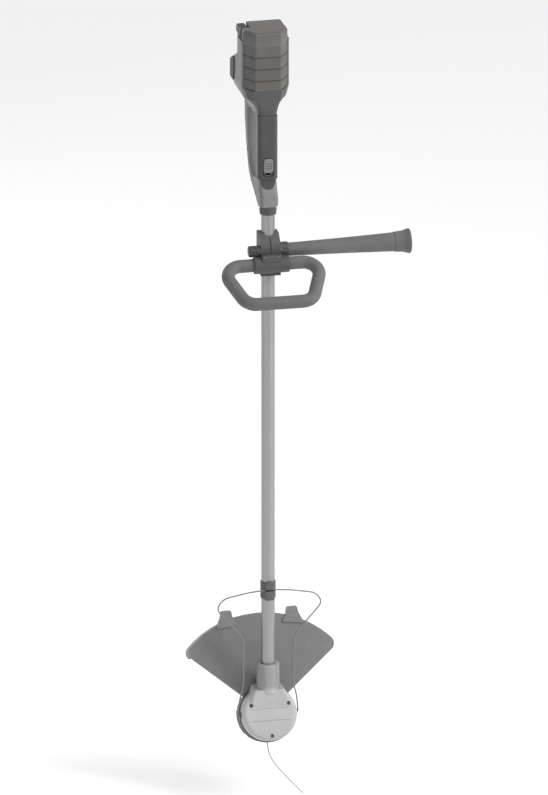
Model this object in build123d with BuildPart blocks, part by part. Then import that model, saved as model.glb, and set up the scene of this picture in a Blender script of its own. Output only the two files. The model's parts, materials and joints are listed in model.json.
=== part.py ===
from build123d import *
import os
from math import cos, pi, radians, sin, tan

# Cordless string trimmer with the motor in its head, standing head down.
# Millimetres. +Z runs up along the tube's axis, -Y is the side that faces up in use, +X is its right.
# The origin is on the tube's axis at the wall clip that stores the machine.
# Heights are counted from the head's centre, where the head's axis meets the tube's axis.

os.makedirs("parts", exist_ok=True)

# ---------------------------------------------------------------- driving dimensions
CLIP_TO_HEAD = 640.0        # wall clip down to the head's centre
HEAD_TILT = 22.0            # head plane against the tube
GAP = 0.3                   # between pieces that move against each other
WALL = 2.5                  # moulded wall

TUBE_R = 14.0
TUBE_WALL = 1.5
TUBE_FOOT = 62.0            # heights of the tube's ends
TUBE_TOP = 1118.0

COVER_R = 57.0              # motor cover
COVER_TOP = 27.0            # along the head's axis
COVER_FOOT = -6.0
HOUSING_R = 59.0
HOUSING_FOOT = -20.0
SOCKET_R = 23.75
SOCKET_TOP = 112.0
SPINDLE_R = 4.0
BEARING_R = 11.0
BEARING_H = 7.0
UPPER_BEARING = 16.5        # lower faces of the bearings
LOWER_BEARING = -17.0
ROTOR_R = 19.0
STATOR_R = 37.0
TEETH = 9
COVER_SCREWS = [(39, 18), (-39, 18), (0, -47)]

DRUM_R = 57.0               # line head
DRUM_TOP = -22.0
DRUM_FOOT = -48.0
CAP_FOOT = -52.0
KNOB_FOOT = -62.0
KNOB_R = 23.5
EYELET_H = -31.0
LINE_D = 2.4

GUARD_R = 208.0             # debris guard
GUARD_TOP = -10.0
GUARD_FOOT = -52.0
GUARD_WALL = 3.0
CUTTER_ANGLE = 35.0         # from the guard's middle
CUTTER_REACH = 184.5        # radius of the blade's edge

WIRE_R = 1.5                # wire guard
WIRE_BOW = 277.6            # its reach from the pivot
PIVOT_X = 60.0              # outer face of a pivot boss

CLAMP_Z = 1007.0            # loop handle clamp
LOOP_Y, LOOP_Z = -30.0, 988.0
LOOP_TUBE_R = 13.5
LOOP_DEPTH = 105.0
LOOP_ANGLE = 61.0           # the loop's plane against straight down
BAR_END = 295.0

HANDLE_HALF = 19.0          # rear handle, half of its width
SHELL = 3.0
DOCK_FLOOR = 1352.0
DOCK_TOP = 1451.0
DOCK_HALF = 50.0
PACK_HALF = 46.0
PACK_TOP = 1475.0
PACK_GAP = 0.4

TRIGGER_PIN = (26.0, 1232.0)        # y and height
LOCK_Z = 1190.0
LOCK_TRAVEL = 7.0


# ---------------------------------------------------------------- places
def up(height):
    """Height above the head's centre, as z."""
    return height - CLIP_TO_HEAD


def level(height):
    """Level plane at a height, seen from above."""
    return Plane.XY.offset(up(height))


tilt = radians(HEAD_TILT)
HEAD = Plane(origin=(0, 0, up(0)), x_dir=(1, 0, 0), z_dir=(0, -cos(tilt), sin(tilt)))
HEAD_AXIS = Axis(HEAD.origin, HEAD.z_dir)
SIDE = Plane(origin=(0, 0, up(0)), x_dir=(0, 1, 0), z_dir=(1, 0, 0))     # y and height, seen from +X


def head(h):
    """Plane across the head's axis at h, with the guard's middle up."""
    return HEAD.offset(h)


def head_point(x, s, h):
    return HEAD.origin + HEAD.x_dir * x + HEAD.y_dir * s + HEAD.z_dir * h


def tube_slice(x):
    """Plane across X at x, with y to the right and height up."""
    return SIDE.offset(x)


def save(part, name):
    part.label = name
    export_step(part, f"parts/{name}.step")


# ---------------------------------------------------------------- tube
with BuildPart() as shaft_tube:
    with BuildSketch(level(TUBE_FOOT)):
        Circle(TUBE_R)
        Circle(TUBE_R - TUBE_WALL, mode=Mode.SUBTRACT)
    extrude(amount=TUBE_TOP - TUBE_FOOT)
save(shaft_tube.part, "shaft_tube")

with BuildPart() as shaft_plug:
    with BuildSketch(level(TUBE_FOOT + 4)):
        Circle(TUBE_R - TUBE_WALL)
        Circle(4.0, mode=Mode.SUBTRACT)
    extrude(amount=10)
save(shaft_plug.part, "shaft_plug")

# ---------------------------------------------------------------- motor cover
NECK_FOOT, SHOULDER = 5.0, 59.0

with BuildPart() as motor_cover:
    with BuildSketch(head(COVER_FOOT)):
        Circle(COVER_R)
    extrude(amount=COVER_TOP - COVER_FOOT)
    fillet(edges().group_by(HEAD_AXIS)[-1], 9)
    with BuildSketch(level(NECK_FOOT)):
        with Locations((0, -7)):
            RectangleRounded(100, 26, 6)
    with BuildSketch(level(SHOULDER - 3)):
        RectangleRounded(65, 42, 6)
    loft()
    with BuildSketch(level(SHOULDER - 3)):
        RectangleRounded(65, 42, 6)
    extrude(amount=3, taper=30)
    with BuildSketch(level(SHOULDER - 6)):
        Circle(SOCKET_R)
    extrude(amount=SOCKET_TOP - SHOULDER + 6)
    chamfer(edges().group_by(Axis.Z)[-1], 1.5)
    # room for the motor, the tube and the leads
    with BuildSketch(head(COVER_FOOT)):
        Circle(COVER_R - WALL)
    extrude(amount=COVER_TOP - WALL - COVER_FOOT - 6, mode=Mode.SUBTRACT)
    with BuildSketch(head(COVER_TOP - WALL - 6)):
        Circle(COVER_R - WALL)
    extrude(amount=6, taper=45, mode=Mode.SUBTRACT)
    with BuildSketch(level(TUBE_FOOT)):
        Circle(TUBE_R)
    extrude(amount=SOCKET_TOP - TUBE_FOOT, mode=Mode.SUBTRACT)
    with BuildSketch(level(10)):
        Circle(10)
    extrude(amount=TUBE_FOOT - 10, mode=Mode.SUBTRACT)
    # two shallow lines across the face
    with BuildSketch(head(COVER_TOP - 0.8)):
        with Locations((0, 9.3), (0, -15.4)):
            SlotOverall(80, 1.4)
    extrude(amount=2, mode=Mode.SUBTRACT)
    # bearing seat and screw posts
    with BuildSketch(head(UPPER_BEARING - 1)):
        Circle(BEARING_R + WALL)
        Circle(BEARING_R, mode=Mode.SUBTRACT)
    extrude(amount=COVER_TOP - WALL - UPPER_BEARING + 1)
    with BuildSketch(head(COVER_FOOT)):
        with Locations(*COVER_SCREWS):
            Circle(4.5)
    extrude(amount=COVER_TOP - 1 - COVER_FOOT)
    with BuildSketch(head(COVER_TOP - 7)):
        with Locations(*COVER_SCREWS):
            Circle(4.2)
    extrude(amount=20, mode=Mode.SUBTRACT)
    with BuildSketch(head(COVER_FOOT)):
        with Locations(*COVER_SCREWS):
            Circle(1.75)
    extrude(amount=30, mode=Mode.SUBTRACT)
    # the hollow below the foot is cut back to the cover's rim
    with BuildSketch(head(COVER_FOOT - 40)):
        Circle(COVER_R + 8)
    extrude(amount=40, mode=Mode.SUBTRACT)
save(motor_cover.part, "motor_cover")

with BuildPart() as cover_screws:
    with BuildSketch(head(COVER_TOP - 7)):
        with Locations(*COVER_SCREWS):
            Circle(3.8)
    extrude(amount=3)
    with BuildSketch(head(COVER_FOOT - 8)):
        with Locations(*COVER_SCREWS):
            Circle(1.75)
    extrude(amount=COVER_TOP - COVER_FOOT + 1)
    with BuildSketch(head(COVER_TOP - 4)):
        with Locations(*COVER_SCREWS):
            RegularPolygon(1.9, 6)
    extrude(amount=-2, mode=Mode.SUBTRACT)
save(cover_screws.part, "cover_screws")

# ---------------------------------------------------------------- lower housing
SEAT_TOP = GUARD_TOP - GUARD_WALL       # where the guard lies
GUARD_SCREWS = [(-18, 76), (18, 76)]

with BuildPart() as lower_housing:
    with BuildSketch(head(HOUSING_FOOT)):
        Circle(HOUSING_R)
    extrude(amount=COVER_FOOT - HOUSING_FOOT)
    fillet(edges().group_by(HEAD_AXIS)[0], 2)
    with BuildSketch(head(HOUSING_FOOT + GUARD_WALL)):
        Circle(HOUSING_R - WALL)
    extrude(amount=20, mode=Mode.SUBTRACT)
    with BuildSketch(head(HOUSING_FOOT + 1)):
        Circle(BEARING_R + WALL)
    extrude(amount=LOWER_BEARING + BEARING_H - HOUSING_FOOT)
    with BuildSketch(head(LOWER_BEARING)):
        Circle(BEARING_R)
    extrude(amount=20, mode=Mode.SUBTRACT)
    with BuildSketch(head(HOUSING_FOOT - 1)):
        Circle(6)
    extrude(amount=10, mode=Mode.SUBTRACT)
    # ring that carries the stator, and the screw posts
    with BuildSketch(head(HOUSING_FOOT + 1)):
        Circle(STATOR_R)
        Circle(STATOR_R - 2, mode=Mode.SUBTRACT)
        with Locations(*COVER_SCREWS):
            Circle(4.5)
    extrude(amount=COVER_FOOT - HOUSING_FOOT - 1)
    # tongue that the guard is screwed to
    with BuildSketch(head(SEAT_TOP - 4)):
        with Locations((0, 71)):
            RectangleRounded(60, 36, 5)
    extrude(amount=4)
    with BuildSketch(head(COVER_FOOT - 8)):
        with Locations(*COVER_SCREWS):
            Circle(1.75)
    extrude(amount=20, mode=Mode.SUBTRACT)
    with BuildSketch(head(SEAT_TOP - 10)):
        with Locations(*GUARD_SCREWS):
            Circle(2)
    extrude(amount=20, mode=Mode.SUBTRACT)
save(lower_housing.part, "lower_housing")

# pivot bosses at the sides carry the wire guard
with BuildPart() as pivot_bosses:
    for side in (-1, 1):
        with BuildSketch(tube_slice(side * PIVOT_X)):
            Circle(7)
            Circle(WIRE_R + 0.05, mode=Mode.SUBTRACT)
        extrude(amount=-side * 6)
    with BuildSketch(head(COVER_FOOT)):
        Circle(COVER_R)
    extrude(amount=40, mode=Mode.SUBTRACT)
    with BuildSketch(head(COVER_FOOT)):
        Circle(HOUSING_R)
    extrude(amount=-40, mode=Mode.SUBTRACT)
save(pivot_bosses.part, "pivot_bosses")

# ---------------------------------------------------------------- motor
ROTOR_FOOT, ROTOR_TOP = -2.0, 14.0

with BuildPart() as spindle:
    with BuildSketch(head(DRUM_TOP - 16)):
        Circle(SPINDLE_R)
    extrude(amount=UPPER_BEARING + BEARING_H - 0.5 - DRUM_TOP + 16)
save(spindle.part, "spindle")

with BuildPart() as rotor_core:
    with BuildSketch(head(ROTOR_FOOT)):
        Circle(ROTOR_R)
        Circle(SPINDLE_R, mode=Mode.SUBTRACT)
        with PolarLocations(11.5, 6):
            Circle(2.2, mode=Mode.SUBTRACT)
    extrude(amount=ROTOR_TOP - ROTOR_FOOT)
save(rotor_core.part, "rotor_core")

with BuildPart() as stator_core:
    with BuildSketch(head(ROTOR_FOOT)):
        Circle(STATOR_R)
        Circle(STATOR_R - 5, mode=Mode.SUBTRACT)
        with PolarLocations(27.5, TEETH):
            Rectangle(12, 5)
        with PolarLocations(21.2, TEETH):
            Rectangle(2.4, 11)
        Circle(ROTOR_R + 0.6, mode=Mode.SUBTRACT)
    extrude(amount=ROTOR_TOP - ROTOR_FOOT)
save(stator_core.part, "stator_core")

with BuildPart() as stator_windings:
    with BuildSketch(head(ROTOR_FOOT - 2.5)):
        with PolarLocations(27, TEETH):
            RectangleRounded(7.6, 9.4, 2)
    extrude(amount=ROTOR_TOP - ROTOR_FOOT + 5)
    with BuildSketch(head(ROTOR_FOOT)):
        with PolarLocations(27, TEETH):
            Rectangle(14, 5)
    extrude(amount=ROTOR_TOP - ROTOR_FOOT, mode=Mode.SUBTRACT)
save(stator_windings.part, "stator_windings")

with BuildPart() as motor_bearings:
    for foot in (LOWER_BEARING, UPPER_BEARING):
        with BuildSketch(head(foot)):
            Circle(BEARING_R)
            Circle(SPINDLE_R + 0.04, mode=Mode.SUBTRACT)
        extrude(amount=BEARING_H)
save(motor_bearings.part, "motor_bearings")

# ---------------------------------------------------------------- line head
HUB_R, HUB_FOOT = 9.0, -36.0
FLANGE_R = 27.5
SPOOL_R, SPOOL_BORE = 50.0, 30.5

with BuildPart() as head_drum:
    with BuildSketch(head(DRUM_FOOT)):
        Circle(DRUM_R)
    extrude(amount=DRUM_TOP - DRUM_FOOT)
    fillet(edges().group_by(HEAD_AXIS)[-1], 3)
    with BuildSketch(head(DRUM_FOOT)):
        Circle(DRUM_R - 3)
    extrude(amount=DRUM_TOP - DRUM_FOOT - 3, mode=Mode.SUBTRACT)
    with BuildSketch(head(HUB_FOOT)):
        Circle(HUB_R)
    extrude(amount=DRUM_TOP - 1 - HUB_FOOT)
    with BuildSketch(head(HUB_FOOT - 1)):
        Circle(SPINDLE_R)
    extrude(amount=30, mode=Mode.SUBTRACT)
    # holes for the two eyelets
    for side in (-1, 1):
        with BuildSketch(Plane(head_point(0, side * 40, EYELET_H), x_dir=HEAD.x_dir, z_dir=HEAD.y_dir * side)):
            Circle(4)
        extrude(amount=30, mode=Mode.SUBTRACT)
    # finger grooves round the rim
    with BuildSketch(head(DRUM_FOOT)):
        with PolarLocations(DRUM_R + 2.2, 12, start_angle=15):
            Circle(4)
    extrude(amount=12, mode=Mode.SUBTRACT)
save(head_drum.part, "head_drum")

with BuildPart() as spindle_nut:
    with BuildSketch(head(HUB_FOOT - 6)):
        RegularPolygon(6.5, 6)
        Circle(SPINDLE_R, mode=Mode.SUBTRACT)
    extrude(amount=6)
save(spindle_nut.part, "spindle_nut")

with BuildPart() as eyelets:
    for side in (-1, 1):
        mouth = Plane(head_point(0, side * 52.5, EYELET_H), x_dir=HEAD.x_dir, z_dir=HEAD.y_dir * side)
        with BuildSketch(mouth):
            Circle(4)
            Circle(1.6, mode=Mode.SUBTRACT)
        extrude(amount=4.5)
        with BuildSketch(mouth.offset(4.5)):
            Circle(5.5)
            Circle(1.6, mode=Mode.SUBTRACT)
        extrude(amount=1.5)
save(eyelets.part, "eyelets")

with BuildPart() as spool:
    with BuildSketch(head(DRUM_FOOT + 0.5)):
        Circle(SPOOL_BORE + 2)
        Circle(SPOOL_BORE, mode=Mode.SUBTRACT)
    extrude(amount=20)
    for foot in (DRUM_FOOT + 0.5, DRUM_FOOT + 19):
        with BuildSketch(head(foot)):
            Circle(SPOOL_R)
            Circle(SPOOL_BORE, mode=Mode.SUBTRACT)
        extrude(amount=1.5)
save(spool.part, "spool")

with BuildPart() as wound_line:
    with BuildSketch(head(DRUM_FOOT + 2)):
        Circle(SPOOL_R - 6)
        Circle(SPOOL_BORE + 2, mode=Mode.SUBTRACT)
    extrude(amount=17)
save(wound_line.part, "wound_line")

with BuildPart() as head_cap:
    with BuildSketch(head(CAP_FOOT)):
        Circle(DRUM_R - 1)
        Circle(KNOB_R + 0.5, mode=Mode.SUBTRACT)
    extrude(amount=DRUM_FOOT - CAP_FOOT)
    chamfer(edges().group_by(HEAD_AXIS)[0].sort_by(SortBy.LENGTH)[-1], 2.5)
save(head_cap.part, "head_cap")

with BuildPart() as bump_knob:
    with BuildSketch(head(KNOB_FOOT)):
        Circle(KNOB_R)
    extrude(amount=DRUM_FOOT + 2 - KNOB_FOOT)
    fillet(edges().group_by(HEAD_AXIS)[0], 3)
    with BuildSketch(head(DRUM_FOOT + GAP)):
        Circle(FLANGE_R)
    extrude(amount=2)
    with BuildSketch(head(KNOB_FOOT + 3)):
        Circle(KNOB_R - 3)
    extrude(amount=30, mode=Mode.SUBTRACT)
save(bump_knob.part, "bump_knob")

SPRING_TOP, SPRING_FOOT = DRUM_TOP - 3.0, KNOB_FOOT + 3.0
with BuildPart() as bump_spring:
    with BuildLine():
        coil = Helix(pitch=7, height=SPRING_TOP - SPRING_FOOT - 2, radius=14,
                     center=head_point(0, 0, SPRING_FOOT + 1), direction=HEAD.z_dir)
    with BuildSketch(Plane(origin=coil @ 0, z_dir=coil % 0)):
        Circle(0.7)
    sweep()
save(bump_spring.part, "bump_spring")

# ---------------------------------------------------------------- trimmer line
# The free end of the line, points across (x) and along (s) the head plane at the eyelet's height.
LINE_ROUTE = [(0, -58.5), (0, -77), (8.2, -97.4), (24.9, -119.9), (45.3, -144.6), (66.7, -168.4)]


def tube_radii(points):
    """The largest tangent arc that each corner's runs allow."""
    radii = []
    for a, b, c in zip(points, points[1:], points[2:]):
        run_in, run_out = Vector(*b) - Vector(*a), Vector(*c) - Vector(*b)
        turn = radians(run_in.get_angle(run_out))
        radii.append(0.45 * min(run_in.length, run_out.length) / tan(turn / 2))
    return radii


line_radii = tube_radii(LINE_ROUTE)
print("line radii", [round(r, 1) for r in line_radii])
with BuildPart() as trimmer_line:
    with BuildLine(head(EYELET_H)) as line_path:
        FilletPolyline(*LINE_ROUTE, radius=line_radii)
    with BuildSketch(Plane(origin=line_path.wires()[0] @ 0, z_dir=line_path.wires()[0] % 0)):
        Circle(LINE_D / 2)
    sweep()
line_length = line_path.wires()[0].length
print("line length", round(line_length, 1), "volume over section times length",
      round(trimmer_line.part.volume / (pi * LINE_D ** 2 / 4 * line_length), 4))
save(trimmer_line.part, "trimmer_line")

# ---------------------------------------------------------------- debris guard
cut = radians(CUTTER_ANGLE)     # frame of the line cutter: x across, y along the head's axis
outward = HEAD.x_dir * sin(cut) + HEAD.y_dir * cos(cut)
across = HEAD.x_dir * -cos(cut) + HEAD.y_dir * sin(cut)
CUTTER = Plane(origin=HEAD.origin, x_dir=across, z_dir=outward)
SKIRT_IN = 204.3
CUTTER_SCREWS = [(7, -36), (7, -24)]
TIP = (159.3, 133.7)            # where a straight side meets the outer arc
ROOT = (46.0, 38.0)             # where it leaves the motor housing
ROOT_R = 59.66
LUG_OUTLINE = [(46, 186), (57, 204), (59, 217), (79, 217), (81, 204), (92, 180)]

with BuildSketch() as guard_outline:
    with BuildLine():
        Line(ROOT, TIP)
        ThreePointArc(TIP, (0, GUARD_R), (-TIP[0], TIP[1]))
        Line((-TIP[0], TIP[1]), (-ROOT[0], ROOT[1]))
        ThreePointArc((-ROOT[0], ROOT[1]), (0, ROOT_R), ROOT)
    make_face()
    fillet(guard_outline.vertices().group_by(Axis.Y)[-1], 17)

with BuildPart() as guard:
    with BuildSketch(head(GUARD_FOOT)):
        add(guard_outline.sketch)
    extrude(amount=GUARD_TOP - GUARD_FOOT)
    chamfer(edges().group_by(HEAD_AXIS)[-1], 1.5)
    with BuildSketch(head(GUARD_FOOT - 1)):
        add(guard_outline.sketch)
        offset(amount=-GUARD_WALL, kind=Kind.INTERSECTION)
    extrude(amount=SEAT_TOP - GUARD_FOOT + 1, mode=Mode.SUBTRACT)
    # the skirt hangs only from the outer edge
    with BuildSketch(head(GUARD_FOOT - 1)):
        Circle(192)
    extrude(amount=31, mode=Mode.SUBTRACT)
    with BuildSketch(head(SEAT_TOP - 12)):
        with Locations((0, 65)):
            Rectangle(74, 56)
    extrude(amount=12, mode=Mode.SUBTRACT)
    # lugs on the outer edge, ribs and screw bosses on top
    with BuildSketch(head(-24)) as lugs:
        for side in (-1, 1):
            with BuildLine():
                Polyline(*[(side * x, s) for x, s in LUG_OUTLINE], close=True)
            make_face()
        fillet(lugs.vertices().group_by(Axis.Y)[-1], 5)
    extrude(amount=17)
    with BuildSketch(head(GUARD_TOP - 1)):
        with Locations(*GUARD_SCREWS):
            Circle(5)
    extrude(amount=7)
    with BuildSketch(head(GUARD_TOP - 10)):
        with Locations(*GUARD_SCREWS):
            Circle(1.75)
    extrude(amount=14, mode=Mode.SUBTRACT)
    with BuildSketch(CUTTER.offset(SKIRT_IN - 2)):
        with Locations(*CUTTER_SCREWS):
            Circle(1.5)
    extrude(amount=10, mode=Mode.SUBTRACT)
save(guard.part, "guard")

with BuildPart() as guard_screws:
    with BuildSketch(head(SEAT_TOP - 6.5)):
        with Locations(*GUARD_SCREWS):
            Circle(3.8)
    extrude(amount=2.5)
    with BuildSketch(head(SEAT_TOP - 4)):
        with Locations(*GUARD_SCREWS):
            Circle(1.75)
    extrude(amount=11)
save(guard_screws.part, "guard_screws")

# ---------------------------------------------------------------- line cutter
with BuildPart() as line_cutter:
    with BuildSketch(CUTTER.offset(SKIRT_IN - 1.2)):
        with Locations((6, -31)):
            Rectangle(14, 22)
        with Locations(*CUTTER_SCREWS):
            Circle(1.8, mode=Mode.SUBTRACT)
    extrude(amount=1.2)
    with BuildSketch(CUTTER.offset(CUTTER_REACH)):
        with Locations((-1.6, -31)):
            Rectangle(1.2, 22)
    extrude(amount=SKIRT_IN - CUTTER_REACH)
save(line_cutter.part, "line_cutter")

with BuildPart() as cutter_screws:
    with BuildSketch(CUTTER.offset(SKIRT_IN - 3.4)):
        with Locations(*CUTTER_SCREWS):
            Circle(3)
    extrude(amount=2.2)
    with BuildSketch(CUTTER.offset(SKIRT_IN - 1.2)):
        with Locations(*CUTTER_SCREWS):
            Circle(1.5)
    extrude(amount=2.2)
save(cutter_screws.part, "cutter_screws")

# ---------------------------------------------------------------- wire guard
LEAN = 3.3                      # its plane leans forward of the tube
lean = radians(LEAN)
WIRE = Plane(origin=HEAD.origin, x_dir=(1, 0, 0), z_dir=(0, -cos(lean), -sin(lean)))
WIRE_SIDE = [(PIVOT_X - 2.6, 0), (63, 0), (60, 35), (52, 66), (52.5, 172), (111, 242), (96, 264), (42, 274)]
WIRE_RADII = [3.5, 120, 80, 45, 15, 28, 90]
wire_left = [(-x, r) for x, r in reversed(WIRE_SIDE)]

with BuildPart() as wire_guard:
    with BuildLine(WIRE) as wire_path:
        FilletPolyline(*WIRE_SIDE, (0, WIRE_BOW), *wire_left, radius=WIRE_RADII + [150] + WIRE_RADII[::-1])
    with BuildSketch(Plane(origin=wire_path.wires()[0] @ 0, z_dir=wire_path.wires()[0] % 0)):
        Circle(WIRE_R)
    sweep()
save(wire_guard.part, "wire_guard")

# ---------------------------------------------------------------- parking clip
CLIP_FOOT, CLIP_TOP = 255.0, 292.0
bow_y, bow_z = WIRE.origin.Y - sin(lean) * WIRE_BOW, cos(lean) * WIRE_BOW

with BuildPart() as parking_clip:
    with BuildSketch(level(CLIP_FOOT)):
        Circle(TUBE_R + 1.9)
        with Locations((0, -14.5)):
            RectangleRounded(19, 16, 4)
    extrude(amount=CLIP_TOP - CLIP_FOOT)
    fillet(edges().group_by(Axis.Z)[-1] + edges().group_by(Axis.Z)[0], 1)
    with BuildSketch(level(CLIP_FOOT)):
        Circle(TUBE_R)
    extrude(amount=CLIP_TOP - CLIP_FOOT, mode=Mode.SUBTRACT)
    # groove that holds the bow of the wire guard
    with BuildSketch(tube_slice(-20)):
        with Locations((bow_y - 8, bow_z - 0.3)):
            Rectangle(20, 2 * WIRE_R + 1.4)
    extrude(amount=40, mode=Mode.SUBTRACT)
save(parking_clip.part, "parking_clip")

# ---------------------------------------------------------------- loop handle and its clamp
CLAMP_HALF = 20.5
BOLT_Y, BOLT_Z = -19.8, 1014.5      # the clamp's cross bolt
SCREW_SPOTS = [(-14, 1006.5), (14, 1006.5)]
SLEEVE_HALF = 36.0                  # sleeve round the middle of the loop
SLEEVE_FRONT_R, SLEEVE_REAR_R = 18.0, 16.5
SLEEVE_RIBS = [-30, -24, -18, -12, -6, 0, 6, 12, 18, 24, 30]

with BuildPart() as clamp_rear:
    with BuildSketch(tube_slice(-CLAMP_HALF)):
        with BuildLine():
            Polyline((LOOP_Y + 0.2, 963), (16, 963), (23, 972), (23, 1038), (14, 1048), (-10, 1048),
                     (-27, 1031), (LOOP_Y + 0.2, 1024), close=True)
        make_face()
    extrude(amount=2 * CLAMP_HALF)
    fillet(edges().filter_by(Axis.Z).group_by(Axis.Y)[-1], 8)
    with BuildSketch(tube_slice(-SLEEVE_HALF)):
        with Locations((LOOP_Y, LOOP_Z)):
            Circle(SLEEVE_REAR_R)
        with Locations((LOOP_Y - 29.8, LOOP_Z)):
            Rectangle(60, 60, mode=Mode.SUBTRACT)
    extrude(amount=2 * SLEEVE_HALF)
    with BuildSketch(level(950)):
        Circle(TUBE_R + 0.05)
    extrude(amount=110, mode=Mode.SUBTRACT)
    with BuildSketch(tube_slice(-SLEEVE_HALF - 1)):
        with Locations((LOOP_Y, LOOP_Z)):
            Circle(LOOP_TUBE_R + 0.05)
    extrude(amount=2 * SLEEVE_HALF + 2, mode=Mode.SUBTRACT)
    # slit that the bolt draws shut round the tube, and the bolt's hole
    with BuildSketch(level(LOOP_Z + LOOP_TUBE_R + 1)):
        with Locations((0, -25)):
            Rectangle(1.6, 30)
    extrude(amount=60, mode=Mode.SUBTRACT)
    with BuildSketch(tube_slice(-30)):
        with Locations((BOLT_Y, BOLT_Z)):
            Circle(3.1)
    extrude(amount=60, mode=Mode.SUBTRACT)
    with BuildSketch(Plane.XZ.offset(-LOOP_Y + 10)):
        with Locations(*[(x, up(z)) for x, z in SCREW_SPOTS]):
            Circle(1.75)
    extrude(amount=-20, mode=Mode.SUBTRACT)
save(clamp_rear.part, "clamp_rear")

with BuildPart() as clamp_front:
    with BuildSketch(tube_slice(-CLAMP_HALF)):
        with BuildLine():
            Polyline((LOOP_Y - 0.2, LOOP_Z), (-46, LOOP_Z), (-46, 999), (-40, 1011), (LOOP_Y - 0.2, 1011), close=True)
        make_face()
    extrude(amount=2 * CLAMP_HALF)
    fillet(edges().group_by(Axis.Y)[0].filter_by(Axis.Z), 4)
    with BuildSketch(tube_slice(-SLEEVE_HALF)):
        with Locations((LOOP_Y, LOOP_Z)):
            Circle(SLEEVE_FRONT_R)
        with Locations((LOOP_Y + 29.8, LOOP_Z)):
            Rectangle(60, 60, mode=Mode.SUBTRACT)
    extrude(amount=2 * SLEEVE_HALF)
    with BuildSketch(tube_slice(-SLEEVE_HALF - 1)):
        with Locations((LOOP_Y, LOOP_Z)):
            Circle(LOOP_TUBE_R + 0.05)
    extrude(amount=2 * SLEEVE_HALF + 2, mode=Mode.SUBTRACT)
    # ribs round the lower half of the sleeve
    with BuildSketch(Plane.XY.offset(up(LOOP_Z - SLEEVE_FRONT_R - 1))):
        with Locations(*[(x, LOOP_Y - 14) for x in SLEEVE_RIBS]):
            Rectangle(2.2, 27.4)
    extrude(amount=2.6, mode=Mode.SUBTRACT)
    with BuildSketch(Plane.XZ.offset(-LOOP_Y - 2)):
        with Locations(*[(x, up(z)) for x, z in SCREW_SPOTS]):
            Circle(2.2)
    extrude(amount=30, mode=Mode.SUBTRACT)
    with BuildSketch(Plane.XZ.offset(-LOOP_Y + 10)):
        with Locations(*[(x, up(z)) for x, z in SCREW_SPOTS]):
            Circle(4.2)
    extrude(amount=30, mode=Mode.SUBTRACT)
save(clamp_front.part, "clamp_front")

with BuildPart() as clamp_screws:
    with BuildSketch(Plane.XZ.offset(-LOOP_Y + 10)):
        with Locations(*[(x, up(z)) for x, z in SCREW_SPOTS]):
            Circle(3.8)
    extrude(amount=3)
    with BuildSketch(Plane.XZ.offset(-LOOP_Y - 10)):
        with Locations(*[(x, up(z)) for x, z in SCREW_SPOTS]):
            Circle(1.75)
    extrude(amount=20)
save(clamp_screws.part, "clamp_screws")

KNOB_IN, KNOB_OUT = 21.0, 45.0
with BuildPart() as clamp_bolt:
    with BuildSketch(tube_slice(CLAMP_HALF)):
        with Locations((BOLT_Y, BOLT_Z)):
            RegularPolygon(5.0, 6)
    extrude(amount=4)
    with BuildSketch(tube_slice(CLAMP_HALF)):
        with Locations((BOLT_Y, BOLT_Z)):
            Circle(2.95)
    extrude(amount=-(CLAMP_HALF + KNOB_OUT - 6))
save(clamp_bolt.part, "clamp_bolt")

with BuildPart() as clamp_knob:
    with BuildSketch(tube_slice(-KNOB_IN)):
        with Locations((BOLT_Y, BOLT_Z)):
            Circle(11.5)
    extrude(amount=-(KNOB_OUT - KNOB_IN))
    fillet(edges().group_by(Axis.X)[0], 3)
    with BuildSketch(tube_slice(-KNOB_IN - 8)):
        with Locations((BOLT_Y, BOLT_Z)):
            with PolarLocations(13.2, 8):
                Circle(3)
    extrude(amount=-30, mode=Mode.SUBTRACT)
    with BuildSketch(tube_slice(-KNOB_IN + 1)):
        with Locations((BOLT_Y, BOLT_Z)):
            Circle(3.0)
    extrude(amount=-(KNOB_OUT - KNOB_IN - 4), mode=Mode.SUBTRACT)
save(clamp_knob.part, "clamp_knob")

# loop of round tube; its plane hangs forward from the clamp
loop_angle = radians(LOOP_ANGLE)
LOOP = Plane(origin=(0, LOOP_Y, up(LOOP_Z)), x_dir=(1, 0, 0), z_dir=(0, cos(loop_angle), -sin(loop_angle)))
LOOP_CORNERS = [(107, 0), (68, LOOP_DEPTH), (-68, LOOP_DEPTH), (-107, 0)]

with BuildPart() as loop_handle:
    with BuildLine(LOOP) as loop_path:
        FilletPolyline(*LOOP_CORNERS, radius=30, close=True)
    with BuildSketch(Plane(origin=loop_path.wires()[0] @ 0, z_dir=loop_path.wires()[0] % 0)):
        Circle(LOOP_TUBE_R)
    sweep()
save(loop_handle.part, "loop_handle")

# barrier bar on the clamp's right
SOCKET_IN, SOCKET_OUT = CLAMP_HALF, 41.0
with BuildPart() as bar_socket:
    with BuildSketch(tube_slice(SOCKET_IN)):
        with Locations((0, CLAMP_Z)):
            Circle(16.5)
    extrude(amount=SOCKET_OUT - SOCKET_IN)
    fillet(edges().group_by(Axis.X)[-1], 2)
    with BuildSketch(tube_slice(SOCKET_IN + 3)):
        with Locations((0, CLAMP_Z)):
            Circle(14)
    extrude(amount=30, mode=Mode.SUBTRACT)
    with BuildSketch(tube_slice(SOCKET_IN - 1)):
        with Locations((BOLT_Y, BOLT_Z)):
            Circle(5.6)
    extrude(amount=30, mode=Mode.SUBTRACT)
save(bar_socket.part, "bar_socket")

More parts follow.
